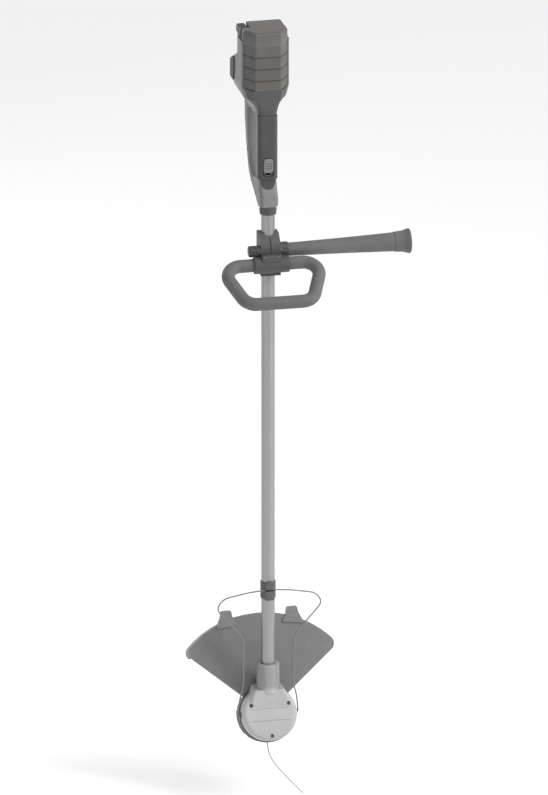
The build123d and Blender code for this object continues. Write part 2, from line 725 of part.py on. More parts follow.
BAR_PROFILE = [(SOCKET_IN + 3, 14), (60, 14), (160, 16.2), (262, 19.6)]     # x and radius
BAR_AXIS = Axis((0, 0, up(CLAMP_Z)), (1, 0, 0))
BAR_PLANE = Plane(origin=(0, 0, up(CLAMP_Z)), x_dir=(1, 0, 0), z_dir=(0, -1, 0))
CAP_X = 262.0
with BuildPart() as barrier_bar:
    with BuildSketch(BAR_PLANE):
        with BuildLine():
            Polyline((BAR_PROFILE[0][0], 0), *BAR_PROFILE, (CAP_X, 0), close=True)
        make_face()
    revolve(axis=BAR_AXIS)
save(barrier_bar.part, "barrier_bar")

with BuildPart() as barrier_end_cap:
    with BuildSketch(BAR_PLANE):
        with BuildLine():
            Polyline((CAP_X, 0), (CAP_X, 20.5), (280, 22), (291, 25.5), (BAR_END, 25.5), (BAR_END, 0), close=True)
        make_face()
    revolve(axis=BAR_AXIS)
    fillet(edges().group_by(Axis.X)[-1], 1.5)
save(barrier_end_cap.part, "barrier_end_cap")

# ---------------------------------------------------------------- rear handle
NOSE_FOOT = 1106.0
GRIP_FRONT, GRIP_BACK = -1.5, 33.0
GRIP_FOOT, GRIP_HEAD = 1162.0, 1297.0       # ends of the soft cover
BODY_TOP = 1306.0
BACK_EDGE = [(145, 1252), (133, 1206), (118, 1170), (106, 1146), (80, 1127), (42, 1113), (8, NOSE_FOOT - 10)]
BODY_OUTLINE = [(-18, NOSE_FOOT), (-16.5, 1128), (GRIP_FRONT, 1152), (GRIP_FRONT, BODY_TOP), (148, BODY_TOP)] + BACK_EDGE
HAND_GAP = [(GRIP_BACK, 1153), (GRIP_BACK, 1284), (112, 1284), (109, 1240), (100, 1200), (88, 1166), (62, 1148)]
PACK_SECTION = [(-27, -5), (27, -5), (PACK_HALF, 25), (PACK_HALF, 86), (-PACK_HALF, 86), (-PACK_HALF, 25)]
DOCK_LOW, DOCK_MID = GRIP_HEAD, 1330.0
DOCK_BACK = 137.0
FOOT_LOW = 1346.0
HANDLE_SCREWS = [(30, 1122), (25, 1160), (27, 1296), (112, 1190), (130, 1288)]      # y and height
ROOF = [(64, DOCK_TOP + 1), (64, 1416), (118, 1387), (DOCK_BACK + 1, 1370), (150, 1370), (150, DOCK_TOP + 1)]


with BuildSketch() as pack_outline:             # section of the battery, seen from above
    with BuildLine():
        Polyline(*PACK_SECTION, close=True)
    make_face()

with BuildSketch() as body_outline:             # narrow body in y and height
    with BuildLine():
        Polyline(*BODY_OUTLINE, close=True)
    make_face()
    fillet(body_outline.vertices().filter_by(lambda v: -17 < v.X < 146 and v.Y < BODY_TOP - 1), 16)

with BuildSketch() as gap_outline:              # gap for the hand
    with BuildLine():
        Polyline(*HAND_GAP, close=True)
    make_face()
    fillet(gap_outline.vertices(), 9)

with BuildSketch() as gap_wall:                 # the gap with the wall round it
    add(gap_outline.sketch)
    offset(amount=SHELL, kind=Kind.INTERSECTION)

with BuildPart() as body_blank:                 # the narrow body before it is hollowed
    with BuildSketch(tube_slice(-HANDLE_HALF)):
        add(body_outline.sketch)
    extrude(amount=2 * HANDLE_HALF)
    with BuildSketch(tube_slice(-HANDLE_HALF - 1)):
        add(gap_outline.sketch)
    extrude(amount=2 * HANDLE_HALF + 2, mode=Mode.SUBTRACT)
    rims = edges().group_by(Axis.X)[0] + edges().group_by(Axis.X)[-1]
    fillet(rims.filter_by(lambda edge: edge.center().Z < up(BODY_TOP - 1)), 8)

with BuildPart() as shell_pair:
    add(body_blank.part)
    # dock: widens from the grip, then stands straight round the battery
    with BuildSketch(level(DOCK_LOW)):
        with Locations((0, 72)):
            RectangleRounded(2 * HANDLE_HALF, 148, 8)
    with BuildSketch(level(DOCK_MID)) as dock_middle:
        with BuildLine():
            Polyline((-26, -4), (26, -4), (44, 27), (44, 124), (36, DOCK_BACK), (-36, DOCK_BACK), (-44, 124),
                     (-44, 27), close=True)
        make_face()
        fillet(dock_middle.vertices(), 5)
    loft()
    with BuildSketch(level(DOCK_MID)):
        add(dock_middle.sketch_local)
    with BuildSketch(level(DOCK_FLOOR)) as dock_section:
        with BuildLine():
            Polyline((-30, -5), (30, -5), (DOCK_HALF, 28), (DOCK_HALF, 126), (42, DOCK_BACK), (-42, DOCK_BACK),
                     (-DOCK_HALF, 126), (-DOCK_HALF, 28), close=True)
        make_face()
        fillet(dock_section.vertices(), 5)
    loft()
    with BuildSketch(level(DOCK_FLOOR)):
        add(dock_section.sketch_local)
        with Locations((0, -60)):
            Rectangle(200, 168, mode=Mode.SUBTRACT)
    extrude(amount=DOCK_TOP - DOCK_FLOOR)
    # the back slopes down behind the battery
    with BuildSketch(tube_slice(-60)):
        with BuildLine():
            Polyline(*ROOF, close=True)
        make_face()
    extrude(amount=120, mode=Mode.SUBTRACT)
    # room inside, under the battery
    with BuildSketch(level(BODY_TOP)):
        with Locations((0, 74)):
            RectangleRounded(32, 96, 5)
    with BuildSketch(level(DOCK_MID + 4)):
        with Locations((0, 76)):
            RectangleRounded(76, 90, 5)
    loft(mode=Mode.SUBTRACT)
    # battery bay, open at the top and the front
    with BuildSketch(level(DOCK_FLOOR)):
        add(pack_outline.sketch)
        offset(amount=PACK_GAP, kind=Kind.INTERSECTION)
    extrude(amount=120, mode=Mode.SUBTRACT)
    # electronics bay behind the battery
    with BuildSketch(level(DOCK_FLOOR - 14)):
        with Locations((0, 108)):
            RectangleRounded(80, 34, 6)
    extrude(amount=37, mode=Mode.SUBTRACT)
    # hollow of the narrow body
    with BuildSketch(tube_slice(-HANDLE_HALF + SHELL)):
        add(body_outline.sketch)
        offset(amount=-SHELL, kind=Kind.INTERSECTION)
        add(gap_wall.sketch, mode=Mode.SUBTRACT)
    extrude(amount=2 * (HANDLE_HALF - SHELL), mode=Mode.SUBTRACT)
    with BuildSketch(level(NOSE_FOOT - 20)):
        Circle(TUBE_R)
    extrude(amount=TUBE_TOP - NOSE_FOOT + 20, mode=Mode.SUBTRACT)
    # slots for the trigger and the lock slider
    with BuildSketch(tube_slice(-7.4)):
        with Locations((GRIP_BACK, 1206)):
            Rectangle(12, 70)
    extrude(amount=14.8, mode=Mode.SUBTRACT)
    with BuildSketch(Plane.XZ.offset(10)):
        with Locations((0, up(LOCK_Z - LOCK_TRAVEL / 2))):
            Rectangle(9, 26 + LOCK_TRAVEL)
    extrude(amount=-16, mode=Mode.SUBTRACT)
    # lead way from the battery bay into the grip
    with BuildSketch(level(DOCK_LOW - 1)):
        with Locations((11, 18)):
            Circle(4.5)
    extrude(amount=70, mode=Mode.SUBTRACT)
    # posts for the screws and the trigger's pin
    with BuildSketch(tube_slice(-HANDLE_HALF + 1)):
        with Locations(*HANDLE_SCREWS, TRIGGER_PIN):
            Circle(4.2)
    extrude(amount=2 * HANDLE_HALF - 2)
    with BuildSketch(tube_slice(-8.4)):
        with Locations(TRIGGER_PIN):
            Circle(5)
    extrude(amount=16.8, mode=Mode.SUBTRACT)
    with BuildSketch(tube_slice(-12)):
        with Locations(TRIGGER_PIN):
            Circle(2.0)
    extrude(amount=24, mode=Mode.SUBTRACT)
    with BuildSketch(tube_slice(-HANDLE_HALF - 1)):
        with Locations(*HANDLE_SCREWS):
            Circle(3.6)
    extrude(amount=5, mode=Mode.SUBTRACT)
    with BuildSketch(tube_slice(-HANDLE_HALF)):
        with Locations(*HANDLE_SCREWS):
            Circle(1.75)
    extrude(amount=2 * HANDLE_HALF - 6, mode=Mode.SUBTRACT)

# the dark front of the dock is a moulding of its own
with BuildPart() as dock_front:
    with BuildSketch(tube_slice(-60)):
        with BuildLine():
            Polyline((-20, GRIP_HEAD), (13, GRIP_HEAD), (21, DOCK_FLOOR), (-20, DOCK_FLOOR), close=True)
        make_face()
    extrude(amount=120)
    add(shell_pair.part, mode=Mode.INTERSECT)
save(dock_front.part, "dock_front")

with BuildPart() as shells:
    add(shell_pair.part)
    add(dock_front.part, mode=Mode.SUBTRACT)

for name, keep in (("handle_right", Keep.TOP), ("handle_left", Keep.BOTTOM)):
    half = split(shells.part, bisect_by=Plane.YZ, keep=keep)
    save(half, name)

# ---------------------------------------------------------------- handle fittings
with BuildPart() as grip_cover:
    with BuildSketch(level(GRIP_FOOT)):
        with Locations((0, 6.5)):
            RectangleRounded(41, 22, 9)
        with Locations((0, GRIP_FRONT + 20)):
            RectangleRounded(2 * HANDLE_HALF + 0.04, 40.04, 8.02, mode=Mode.SUBTRACT)
        with Locations((0, 22)):
            Rectangle(60, 20, mode=Mode.SUBTRACT)
    extrude(amount=GRIP_HEAD - GRIP_FOOT)
    # window round the lock slider
    with BuildSketch(Plane.XZ.offset(10)):
        with Locations((0, up(LOCK_Z - LOCK_TRAVEL / 2))):
            RectangleRounded(24, 34 + LOCK_TRAVEL + 1, 8)
    extrude(amount=-11.5, mode=Mode.SUBTRACT)
save(grip_cover.part, "grip_cover")

with BuildPart() as nose_collar:
    with BuildSketch(level(1088)):
        Circle(17)
    with BuildSketch(level(NOSE_FOOT)):
        with Locations((0, -0.5)):
            Circle(18.5)
    loft()
    with BuildSketch(level(1080)):
        Circle(TUBE_R)
    extrude(amount=40, mode=Mode.SUBTRACT)
    with BuildSketch(tube_slice(-30)):
        add(body_outline.sketch)
    extrude(amount=60, mode=Mode.SUBTRACT)
save(nose_collar.part, "nose_collar")

with BuildPart() as bumper_strip:
    with BuildSketch(tube_slice(-8)):
        add(body_outline.sketch)
        offset(amount=2.4, kind=Kind.INTERSECTION)
        add(body_outline.sketch, mode=Mode.SUBTRACT)
        with Locations((200, 1150)):
            Rectangle(312, 106, mode=Mode.INTERSECT)
    extrude(amount=16)
    with BuildSketch(level(1060)):
        Circle(24)
    extrude(amount=60, mode=Mode.SUBTRACT)
save(bumper_strip.part, "bumper_strip")

with BuildPart() as rear_foot:                  # wraps round the back of the dock
    with BuildSketch(level(FOOT_LOW)):
        add(dock_section.sketch_local)
        offset(amount=2.5, kind=Kind.ARC)
        add(dock_section.sketch_local, mode=Mode.SUBTRACT)
        with Locations((0, 190)):
            Rectangle(200, 200, mode=Mode.INTERSECT)
    extrude(amount=50)
    with BuildSketch(tube_slice(-60)):
        with BuildLine():
            Polyline(*ROOF, close=True)
        make_face()
        with BuildLine():
            Polyline((83, FOOT_LOW - 1), (96, FOOT_LOW - 1), (85, 1390), (83, 1410), close=True)
        make_face()
    extrude(amount=120, mode=Mode.SUBTRACT)
save(rear_foot.part, "rear_foot")

with BuildPart() as handle_screws:
    with BuildSketch(tube_slice(-HANDLE_HALF + 1)):
        with Locations(*HANDLE_SCREWS):
            Circle(3.4)
    extrude(amount=3)
    with BuildSketch(tube_slice(-HANDLE_HALF + 4)):
        with Locations(*HANDLE_SCREWS):
            Circle(1.75)
    extrude(amount=2 * HANDLE_HALF - 12)
save(handle_screws.part, "handle_screws")

# ---------------------------------------------------------------- trigger, lock slider, switch
PIN_Y, PIN_Z = TRIGGER_PIN
with BuildPart() as trigger:
    with BuildSketch(tube_slice(-7)) as trigger_outline:
        with BuildLine():
            Polyline((PIN_Y - 4, PIN_Z + 4), (PIN_Y + 6.4, PIN_Z + 4), (44, 1212), (45, 1186), (36, 1174),
                     (27, 1176), (22, 1190), (21, 1222), close=True)
        make_face()
        fillet(trigger_outline.vertices(), 2.5)
    extrude(amount=14)
    fillet(edges().group_by(Axis.X)[0] + edges().group_by(Axis.X)[-1], 1.5)
    with BuildSketch(tube_slice(-10)):
        with Locations(TRIGGER_PIN):
            Circle(2.05)
    extrude(amount=20, mode=Mode.SUBTRACT)
save(trigger.part, "trigger")

with BuildPart() as trigger_pin:
    with BuildSketch(tube_slice(-12)):
        with Locations(TRIGGER_PIN):
            Circle(2)
    extrude(amount=24)
save(trigger_pin.part, "trigger_pin")

with BuildPart() as trigger_spring:
    with BuildLine():
        trigger_coil = Helix(pitch=2.6, height=8, radius=2.6, center=(0, 12.4, up(1184)), direction=(0, 1, 0))
    with BuildSketch(Plane(origin=trigger_coil @ 0, z_dir=trigger_coil % 0)):
        Circle(0.4)
    sweep()
save(trigger_spring.part, "trigger_spring")

with BuildPart() as trigger_switch:
    with BuildSketch(tube_slice(-6)):
        with Locations((7.5, 1212)):
            RectangleRounded(9, 22, 1.5)
    extrude(amount=12)
    with BuildSketch(tube_slice(-1.5)):
        with Locations((12.5, 1208)):
            Rectangle(1.6, 4)
    extrude(amount=3)
save(trigger_switch.part, "trigger_switch")

with BuildPart() as lock_slider:
    with BuildSketch(Plane.XZ.offset(-GRIP_FRONT + GAP)):
        with Locations((0, up(LOCK_Z + 1))):
            RectangleRounded(20, 30, 6)
    extrude(amount=5.5)
    fillet(edges().group_by(Axis.Y)[0], 2)
    with BuildSketch(Plane.XZ.offset(-GRIP_FRONT + 1)):
        with Locations((0, up(LOCK_Z - 3))):
            Rectangle(7.6, 18)
    extrude(amount=-6.5)
    with BuildSketch(Plane.XZ.offset(-GRIP_FRONT + 8)):
        with Locations(*[(0, up(LOCK_Z + 1 + 5 * i)) for i in (-1, 0, 1)]):
            Rectangle(13, 1.6)
    extrude(amount=-3.2, mode=Mode.SUBTRACT)
save(lock_slider.part, "lock_slider")

# ---------------------------------------------------------------- electronics
with BuildPart() as control_board:
    with BuildSketch(level(1346)):
        with Locations((0, 108)):
            Rectangle(72, 30)
    extrude(amount=1.6)
    with BuildSketch(level(1347)):
        with Locations((-24, 108), (24, 104)):
            Rectangle(14, 12)
        with Locations((0, 114)):
            Circle(5)
    extrude(amount=14)
save(control_board.part, "control_board")

with BuildPart() as terminal_block:
    with BuildSketch(level(DOCK_FLOOR)):
        with Locations((0, 45)):
            RectangleRounded(40, 46, 3)
    extrude(amount=8)
save(terminal_block.part, "terminal_block")

with BuildPart() as battery_contacts:
    with BuildSketch(level(DOCK_FLOOR + 8)):
        with Locations((-13, 45), (-4.5, 45), (4.5, 45), (13, 45)):
            Rectangle(0.9, 24)
    extrude(amount=12)
save(battery_contacts.part, "battery_contacts")

# leads from the battery bay through grip and tube to the motor
LEAD_POINTS = [(11, 18, 1349), (11, 18, 1294), (11.5, 13, 1240), (11.5, 12, 1180), (6, 6, 1150), (0, 0, 1118),
               (0, 0, 60), (2, -2, 43)]
with BuildPart() as power_leads:
    with BuildLine() as lead_path:
        FilletPolyline(*[(x, y, up(z)) for x, y, z in LEAD_POINTS], radius=12)
    with BuildSketch(Plane(origin=lead_path.wires()[0] @ 0, z_dir=lead_path.wires()[0] % 0)):
        Circle(3.0)
    sweep()
save(power_leads.part, "power_leads")

# ---------------------------------------------------------------- battery
LID_FOOT = 1447.0
GROOVES = [1372.0, 1397.0, 1422.0]
NOTCH_IN, LATCH_OUT = 27.5, 48.5     # corner notch in the lid, and the thumb button's outer face
with BuildPart() as battery_case:
    with BuildSketch(level(DOCK_FLOOR + PACK_GAP)) as case_section:
        add(pack_outline.sketch)
        fillet(case_section.vertices(), 5)
    extrude(amount=LID_FOOT - DOCK_FLOOR - PACK_GAP)
    with BuildSketch(level(DOCK_FLOOR + 22)) as cell_room:
        add(pack_outline.sketch)
        offset(amount=-2.2, kind=Kind.INTERSECTION)
        fillet(cell_room.vertices(), 3)
    extrude(amount=200, mode=Mode.SUBTRACT)
    # pocket for the terminal block and slots for its contacts
    with BuildSketch(level(DOCK_FLOOR)):
        with Locations((0, 45)):
            RectangleRounded(41, 47, 3)
    extrude(amount=8.6, mode=Mode.SUBTRACT)
    with BuildSketch(level(DOCK_FLOOR)):
        with Locations((-13, 45), (-4.5, 45), (4.5, 45), (13, 45)):
            Rectangle(1.8, 26)
    extrude(amount=21, mode=Mode.SUBTRACT)
    # grooves between the ribs, on the front and the slanted sides
    for height in GROOVES:
        with BuildSketch(level(height)):
            with Locations((0, -20)):
                Rectangle(120, 100)
            with BuildLine():
                Polyline(*[(x * 0.974, y * 0.95 + 1.2) for x, y in PACK_SECTION], close=True)
            make_face(mode=Mode.SUBTRACT)
        extrude(amount=2.4, mode=Mode.SUBTRACT)
save(battery_case.part, "battery_case")

with BuildPart() as battery_lid:
    with BuildSketch(level(LID_FOOT)) as lid_section:
        add(pack_outline.sketch)
        fillet(lid_section.vertices(), 5)
    extrude(amount=PACK_TOP - LID_FOOT)
    fillet(edges().group_by(Axis.Z)[-1], 8)
    with BuildSketch(level(LID_FOOT - 1)) as lid_room:
        add(pack_outline.sketch)
        offset(amount=-2.2, kind=Kind.INTERSECTION)
        fillet(lid_room.vertices(), 3)
    extrude(amount=8, mode=Mode.SUBTRACT)
    with BuildSketch(tube_slice(PACK_HALF - 5)):
        with Locations((52, 1461)):
            RectangleRounded(30, 14, 4)
    extrude(amount=10, mode=Mode.SUBTRACT)
    with BuildSketch(tube_slice(-NOTCH_IN)):
        with Locations((70, 1476)):
            Rectangle(60, 40)
    extrude(amount=-40, mode=Mode.SUBTRACT)
save(battery_lid.part, "battery_lid")

CELL_SPOTS = [(x, y) for y in (52.5, 72.2) for x in (-29.4, -9.8, 9.8, 29.4)] + [(-9.8, 32.5), (9.8, 32.5)]
with BuildPart() as battery_cells:
    with BuildSketch(level(DOCK_FLOOR + 24)):
        with Locations(*CELL_SPOTS):
            Circle(9.2)
    extrude(amount=65)
save(battery_cells.part, "battery_cells")

with BuildPart() as latch_right:
    with BuildSketch(tube_slice(PACK_HALF - 1.7)):
        with Locations((52, 1461)):
            RectangleRounded(29.2, 13.2, 3.6)
    extrude(amount=4.2)
    fillet(edges().group_by(Axis.X)[-1], 1.2)
save(latch_right.part, "latch_right")

with BuildPart() as latch_left:                 # thumb button at the lid's corner
    with BuildSketch(level(1456.3)):
        with Locations((-(LATCH_OUT + NOTCH_IN + 3) / 2, 63)):
            RectangleRounded(LATCH_OUT - NOTCH_IN - 3, 45.2, 4)
    extrude(amount=14.5)
    fillet(edges().group_by(Axis.Z)[-1], 3)
save(latch_left.part, "latch_left")
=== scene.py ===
import json
from math import cos, pi, radians, sin

import bmesh
import bpy
from mathutils import Matrix, Vector
from mathutils.bvhtree import BVHTree


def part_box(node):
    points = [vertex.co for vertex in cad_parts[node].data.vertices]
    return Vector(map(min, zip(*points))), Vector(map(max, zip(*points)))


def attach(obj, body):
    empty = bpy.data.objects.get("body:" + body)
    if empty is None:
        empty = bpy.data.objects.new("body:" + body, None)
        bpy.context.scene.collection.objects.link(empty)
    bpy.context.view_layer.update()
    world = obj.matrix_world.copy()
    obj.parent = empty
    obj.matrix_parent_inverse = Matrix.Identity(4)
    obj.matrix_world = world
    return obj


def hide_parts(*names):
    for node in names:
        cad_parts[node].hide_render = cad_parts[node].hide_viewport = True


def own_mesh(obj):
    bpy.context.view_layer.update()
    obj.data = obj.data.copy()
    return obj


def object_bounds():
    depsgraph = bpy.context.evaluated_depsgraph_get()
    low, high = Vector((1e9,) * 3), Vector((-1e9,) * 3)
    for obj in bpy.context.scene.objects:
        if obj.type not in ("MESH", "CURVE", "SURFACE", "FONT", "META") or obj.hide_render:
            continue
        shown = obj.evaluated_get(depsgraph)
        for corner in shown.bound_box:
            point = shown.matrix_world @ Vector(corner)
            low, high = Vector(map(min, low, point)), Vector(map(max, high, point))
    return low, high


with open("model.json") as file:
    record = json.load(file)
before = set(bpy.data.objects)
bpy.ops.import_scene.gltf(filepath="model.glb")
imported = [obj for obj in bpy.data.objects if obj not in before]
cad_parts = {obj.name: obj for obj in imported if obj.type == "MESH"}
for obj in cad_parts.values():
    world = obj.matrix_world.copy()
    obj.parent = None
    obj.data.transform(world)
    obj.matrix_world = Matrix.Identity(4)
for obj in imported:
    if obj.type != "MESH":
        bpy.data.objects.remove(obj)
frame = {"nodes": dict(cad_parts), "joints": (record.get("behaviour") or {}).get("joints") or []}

# Cordless string trimmer, stored upright with its head down. Metres, in the CAD model's frame:
# +Z up along the tube, -Y the side that faces up in use, +X the side of the barrier bar.

cad_low, cad_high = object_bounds()
joints = {joint["name"]: joint for joint in frame["joints"]}
nodes = frame["nodes"]
MM = 0.001

# The head's own frame: x across, s towards the guard, h along the spindle, out of the cover.
HEAD_CENTRE = Vector(joints["head_spin"]["pos_m"])
HEAD_N = Vector(joints["head_spin"]["axis"]).normalized()
HEAD_X = Vector((1, 0, 0))
HEAD_S = HEAD_N.cross(HEAD_X)


def head_point(x, s, h):
    """A point of the head's frame, given in millimetres."""
    return HEAD_CENTRE + (HEAD_X * x + HEAD_S * s + HEAD_N * h) * MM


def add_object(name, data):
    """A new object in the scene's own collection."""
    thing = bpy.data.objects.new(name, data)
    bpy.context.scene.collection.objects.link(thing)
    return thing


# ------------------------------------------------------------------ camera
AZIMUTH, ELEVATION = radians(-12), radians(20)
FRAME_HEIGHT = 1.630            # metres that the picture's height covers
DISTANCE = 40.0
SENSOR = 36.0

to_camera = Vector((sin(AZIMUTH) * cos(ELEVATION), -cos(AZIMUTH) * cos(ELEVATION), sin(ELEVATION)))
right = Vector((cos(AZIMUTH), sin(AZIMUTH), 0))
upward = to_camera.cross(right)
target = HEAD_CENTRE + right * 0.0123 + upward * 0.6478

camera_data = bpy.data.cameras.new("camera")
camera_data.sensor_width = SENSOR
camera_data.lens = SENSOR * DISTANCE / FRAME_HEIGHT
camera_data.clip_end = 100
camera = add_object("camera", camera_data)
camera.matrix_world = Matrix.Translation(target + to_camera * DISTANCE) @ \
    Matrix((right, upward, to_camera)).transposed().to_4x4()
bpy.context.scene.camera = camera
bpy.context.scene.view_settings.view_transform = "Standard"

# ------------------------------------------------------------------ trimmer line
EYELET_H = -31.0
LINE_D = 2.4 * MM
LINE_ROUTE = [(0, -58.5), (0, -77), (8.2, -97.4), (24.9, -119.9), (45.3, -144.6), (66.4, -167.9)]


def nurbs_tube(name, points, diameter):
    """A smooth round cord along given control points."""
    curve = bpy.data.curves.new(name, "CURVE")
    curve.dimensions = "3D"
    spline = curve.splines.new("NURBS")
    spline.points.add(len(points) - 1)
    for control, place in zip(spline.points, points):
        control.co = (*place, 1)
        control.radius = diameter / 2           # times bevel_depth; it also sets the curve's own box
    spline.order_u = 3
    spline.use_endpoint_u = True
    spline.resolution_u = 12
    curve.bevel_depth = 1.0
    curve.bevel_resolution = 5
    curve.use_fill_caps = True
    return add_object(name, curve)


line = nurbs_tube("nylon_line", [head_point(x, s, EYELET_H) for x, s in LINE_ROUTE], LINE_D)
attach(line, "line_head")
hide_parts("trimmer_line")


# ------------------------------------------------------------------ grip details
GRIP_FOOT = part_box("grip_cover")[0].z
TONGUE_DROP = 0.022             # the soft cover's tongue runs this far down the nose
TONGUE_HALF = 0.0155
SKIN = 0.0009                   # how far the tongue stands proud of the shells
LAP = 0.0012                    # how far its top reaches up over the cover's foot
ROUNDNESS = 3.2                 # higher is squarer at the tip


def surface_tree(*names):
    """One BVH tree over several CAD nodes."""
    mesh = bmesh.new()
    for name in names:
        mesh.from_mesh(nodes[name].data)
    tree = BVHTree.FromBMesh(mesh)
    mesh.free()
    return tree


def add_mesh(name, mesh, body):
    """A smooth piece from a bmesh, riding a body."""
    data = bpy.data.meshes.new(name)
    mesh.to_mesh(data)
    mesh.free()
    piece = add_object(name, data)
    for face in data.polygons:
        face.use_smooth = True
    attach(piece, body)
    return piece


def thicken(piece, thickness):
    """Gives a sheet its thickness, inwards."""
    solid = piece.modifiers.new("thickness", "SOLIDIFY")
    solid.thickness = thickness
    solid.offset = -1
    return piece


def grip_tongue():
    """Rounded tongue of the soft cover, laid on the shells below it."""
    shells = surface_tree("handle_left", "handle_right")
    rows, columns = 22, 22
    mesh = bmesh.new()
    grid = []
    for i in range(rows + 1):
        down = i / rows
        half = TONGUE_HALF * (1 - down ** ROUNDNESS) ** 0.5 + 0.0002
        z = GRIP_FOOT + LAP - TONGUE_DROP * down
        row = []
        for j in range(columns + 1):
            x = half * (2 * j / columns - 1)
            hit = shells.ray_cast(Vector((x, -0.2, z)), Vector((0, 1, 0)))[0]
            edge = min(1, (1 - abs(2 * j / columns - 1)) * 6, (1 - down) * 9 + 0.15)
            row.append(mesh.verts.new((x, hit.y - SKIN * (0.35 + 0.65 * edge), z)))
        grid.append(row)
    for upper, lower in zip(grid, grid[1:]):
        for j in range(columns):
            mesh.faces.new((upper[j], lower[j], lower[j + 1], upper[j + 1]))
    bmesh.ops.recalc_face_normals(mesh, faces=mesh.faces)
    if sum(face.normal.y for face in mesh.faces) > 0:
        bmesh.ops.reverse_faces(mesh, faces=mesh.faces)
    return thicken(add_mesh("grip_tongue", mesh, "machine"), 0.0016)


def slider_shade_sheet():
    """Dark crescent sheet below the lock slider, with a slot for its stem: painted shade standing in for the
    shaded recess there, laid flat on the nose.
    """
    low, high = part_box("lock_slider")
    middle = (low.x + high.x) / 2
    half, slot_half = 0.0112, 0.0047
    foot, top, slot_foot = low.z - 0.0098, low.z + 0.004, low.z - 0.0062
    corner = 0.0078
    outline = [(-half, top)]
    for centre, start in ((corner - half, pi), (half - corner, 1.5 * pi)):
        for i in range(9):
            turn = start + i / 8 * pi / 2
            outline.append((centre + corner * cos(turn), foot + corner + corner * sin(turn)))
    outline += [(half, top), (slot_half, top), (slot_half, slot_foot),
                (-slot_half, slot_foot), (-slot_half, top)]
    mesh = bmesh.new()
    front = -0.0017
    face = mesh.faces.new([mesh.verts.new((middle + x, front, z)) for x, z in outline])
    if face.normal.y > 0:
        face.normal_flip()
    bmesh.ops.triangulate(mesh, faces=mesh.faces)
    return thicken(add_mesh("slider_shade_sheet", mesh, "machine"), 0.0003)


tongue = grip_tongue()
# The dark crescent sheet below the lock slider is painted shade of a recess.
shade_sheet = slider_shade_sheet()


def soft_coil(name, node, body):
    """A copy of a spring's coil that rides a body in place of its hidden CAD part."""
    source = nodes[node]
    coil = add_object(name, source.data.copy())
    coil.matrix_world = source.matrix_world.copy()
    coil.data.materials.clear()
    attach(coil, body)
    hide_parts(node)
    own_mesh(coil)
    return coil


bump_coil = soft_coil("bump_coil", "bump_spring", "line_head")
trigger_coil = soft_coil("trigger_coil", "trigger_spring", "machine")


# ------------------------------------------------------------------ materials
def new_material(name):
    material = bpy.data.materials.new(name)
    material.use_nodes = True
    tree = material.node_tree
    return material, tree, tree.nodes["Principled BSDF"]


def add_node(tree, kind, **inputs):
    node = tree.nodes.new(kind)
    for key, value in inputs.items():
        node.inputs[key.replace("_", " ")].default_value = value
    return node


def place_coords(tree, stretch=(1, 1, 1)):
    """Object coordinates in metres, stretched."""
    coords = tree.nodes.new("ShaderNodeTexCoord")
    mapping = tree.nodes.new("ShaderNodeMapping")
    mapping.inputs["Scale"].default_value = stretch
    tree.links.new(coords.outputs["Object"], mapping.inputs["Vector"])
    return mapping.outputs["Vector"]


def noise(tree, vector, scale, detail=4.0, roughness=0.55):
    node = add_node(tree, "ShaderNodeTexNoise", Scale=scale, Detail=detail, Roughness=roughness)
    tree.links.new(vector, node.inputs["Vector"])
    return node.outputs["Fac"]


def ramp(tree, factor, low, high, low_at=0.3, high_at=0.7):
    """Colours from low to high as factor grows."""
    node = tree.nodes.new("ShaderNodeValToRGB")
    node.color_ramp.elements[0].position = low_at
    node.color_ramp.elements[1].position = high_at
    node.color_ramp.elements[0].color = (*low, 1)
    node.color_ramp.elements[1].color = (*high, 1)
    tree.links.new(factor, node.inputs["Fac"])
    return node.outputs["Color"]


def grey(value, warm=0.0):
    return (value * (1 + warm), value, value * (1 - warm))


def mix(tree, factor, a, b, blend="MIX"):
    node = tree.nodes.new("ShaderNodeMix")
    node.data_type = "RGBA"
    node.blend_type = blend
    if isinstance(factor, float):
        node.inputs["Factor"].default_value = factor
    else:
        tree.links.new(factor, node.inputs["Factor"])
    for value, socket in ((a, node.inputs[6]), (b, node.inputs[7])):
        if isinstance(value, tuple):
            socket.default_value = (*value, 1)
        else:
            tree.links.new(value, socket)
    return node.outputs[2]


def edge_wear(tree, strength=0.5):
    """Grows where the surface is convex, so that edges look rubbed."""
    geometry = tree.nodes.new("ShaderNodeNewGeometry")
    factor = tree.nodes.new("ShaderNodeMapRange")
    factor.inputs["From Min"].default_value = 0.53
    factor.inputs["From Max"].default_value = 0.62
    factor.inputs["To Max"].default_value = strength
    tree.links.new(geometry.outputs["Pointiness"], factor.inputs["Value"])
    return factor.outputs["Result"]


def bump(tree, height, strength, distance, shader, after=None):
    node = tree.nodes.new("ShaderNodeBump")
    node.inputs["Strength"].default_value = strength
    node.inputs["Distance"].default_value = distance
    tree.links.new(height, node.inputs["Height"])
    if after:
        tree.links.new(after, node.inputs["Normal"])
    tree.links.new(node.outputs["Normal"], shader.inputs["Normal"])
    return node.outputs["Normal"]


def height_shade(tree, colour, low, high, shade):
    """Darkens colour above a height, between low and high."""
    coords = tree.nodes.new("ShaderNodeTexCoord")
    axes = tree.nodes.new("ShaderNodeSeparateXYZ")
    tree.links.new(coords.outputs["Object"], axes.inputs["Vector"])
    band = tree.nodes.new("ShaderNodeMapRange")
    band.interpolation_type = "SMOOTHSTEP"
    band.inputs["From Min"].default_value = low
    band.inputs["From Max"].default_value = high
    tree.links.new(axes.outputs["Z"], band.inputs["Value"])
    return mix(tree, band.outputs["Result"], colour, mix(tree, 1.0, colour, grey(shade), "MULTIPLY"))


